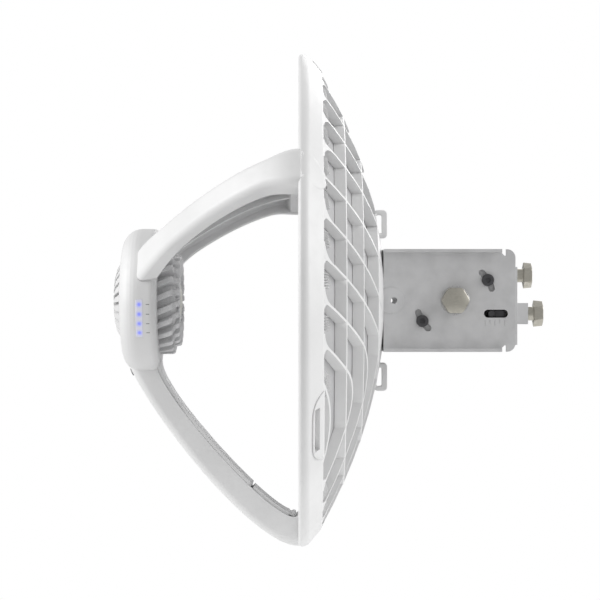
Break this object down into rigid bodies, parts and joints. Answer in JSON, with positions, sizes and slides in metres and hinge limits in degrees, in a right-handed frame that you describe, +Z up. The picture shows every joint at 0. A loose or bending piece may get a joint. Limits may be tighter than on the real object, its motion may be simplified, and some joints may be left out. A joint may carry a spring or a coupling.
{
  "type": "outdoor wireless bridge",
  "caption": "Outdoor wireless bridge: ribbed round dish, radio head on three curved arms at its focus, and a mast bracket with fine tilt and pan.",
  "frame": {"origin": "on the mast's axis, level with the tilt pivot and the dish axis", "axes": "+Z up along the mast, the dish looks along -X, +Y completes a right-handed frame"},
  "size_m": [0.3556, 0.41, 0.4116],
  "materials": {
    "white_plastic": "fine satin moulding, UV stable white",
    "inner_white_plastic": "satin off-white moulding",
    "reflector_skin": "light grey metallised moulding",
    "galvanised_plate": "zinc plated",
    "painted_bracket": "light grey powder coat",
    "cast_clamp": "die cast, powder coated",
    "bolt_steel": "stainless, slightly warm",
    "bright_steel": "stainless",
    "dark_screw": "black zinc",
    "grey_plastic": "mid grey moulding",
    "cast_heatsink": "die cast, light grey paint",
    "black_rubber": "soft black",
    "circuit_board": "green solder mask",
    "shield_metal": "tinned sheet",
    "horn_brass": "machined",
    "feed_window": "radio-clear cover",
    "light_lens": "clear strip over four blue lights"
  },
  "bodies": {
    "pole_mount": {"pole_saddle": "cast_clamp", "clamp_bolts": "bright_steel", "azimuth_studs": "bright_steel", "azimuth_stud_nuts": "bright_steel"},
    "clamp_jaw": {"clamp_jaw": "cast_clamp", "clamp_nuts": "bright_steel"},
    "azimuth_carriage": {"azimuth_carriage": "painted_bracket", "pivot_bolts": "bolt_steel", "pivot_washers": "bright_steel", "pivot_nuts": "bright_steel", "lock_screws": "dark_screw", "lock_nuts": "bright_steel"},
    "azimuth_screw": {"azimuth_screw": "bolt_steel"},
    "azimuth_nut": {"azimuth_nut": "dark_screw"},
    "elevation_screw": {"elevation_screw": "bolt_steel"},
    "elevation_nut": {"elevation_nut": "bright_steel"},
    "dish": {"reflector": "reflector_skin", "back_frame": "white_plastic", "hub_plate": "galvanised_plate", "hub_screws": "bright_steel", "tie_loops": "grey_plastic", "upper_arm_near": "white_plastic", "upper_arm_far": "white_plastic", "lower_arm": "white_plastic", "lower_arm_cover": "inner_white_plastic", "arm_screws": "bright_steel", "arm_latches": "grey_plastic", "radio_housing": "white_plastic", "front_grille": "inner_white_plastic", "rear_heatsink": "cast_heatsink", "head_gasket": "black_rubber", "head_screws": "bright_steel", "radio_board": "circuit_board", "rf_shield": "shield_metal", "feed_horn": "horn_brass", "feed_cover": "feed_window", "led_board": "circuit_board", "led_lens": "light_lens", "ethernet_jack": "shield_metal", "port_seal": "black_rubber", "data_cable": "black_rubber", "door_pin": "bright_steel", "dish_yoke": "painted_bracket"},
    "reset_button": {"reset_button": "grey_plastic"},
    "port_door": {"port_door": "inner_white_plastic"}
  },
  "joints": [
    {"name": "fine_azimuth", "type": "hinge", "parent": "pole_mount", "child": "azimuth_carriage", "pos_m": [0, 0, 0], "axis": [0, 0, 1], "range_deg": [-10, 10]},
    {"name": "elevation", "type": "hinge", "parent": "azimuth_carriage", "child": "dish", "pos_m": [0.0037, 0, 0], "axis": [0, 1, 0], "range_deg": [-13, 13]},
    {"name": "azimuth_screw_turn", "type": "hinge", "parent": "azimuth_carriage", "child": "azimuth_screw", "pos_m": [0.06, -0.024, -0.0108], "axis": [-1, 0, 0], "range_deg": [-1040, 1040]},
    {"name": "azimuth_nut_slide", "type": "slide", "parent": "azimuth_carriage", "child": "azimuth_nut", "axis": [1, 0, 0], "range_m": [-0.0036, 0.0036]},
    {"name": "elevation_screw_turn", "type": "hinge", "parent": "azimuth_carriage", "child": "elevation_screw", "pos_m": [0.06, 0, 0.021], "axis": [-1, 0, 0], "range_deg": [-1400, 1400]},
    {"name": "elevation_nut_slide", "type": "slide", "parent": "azimuth_carriage", "child": "elevation_nut", "axis": [1, 0, 0], "range_m": [-0.0049, 0.0049]},
    {"name": "jaw_slide", "type": "slide", "parent": "pole_mount", "child": "clamp_jaw", "axis": [-1, 0, 0], "range_m": [0, 0.005]},
    {"name": "reset_press", "type": "slide", "parent": "dish", "child": "reset_button", "axis": [0.9136, 0, 0.4067], "range_m": [0, 0.0012]},
    {"name": "port_door_hinge", "type": "hinge", "parent": "dish", "child": "port_door", "pos_m": [-0.12837, 0, -0.17879], "axis": [0, 1, 0], "range_deg": [0, 95]}
  ],
  "couplings": [
    {"joint": "elevation_nut_slide", "follows": "elevation", "m_per_rad": 0.02137},
    {"joint": "elevation_screw_turn", "follows": "elevation", "ratio": 107.42},
    {"joint": "azimuth_nut_slide", "follows": "fine_azimuth", "m_per_rad": -0.0202},
    {"joint": "azimuth_screw_turn", "follows": "fine_azimuth", "ratio": -101.54}
  ]
}
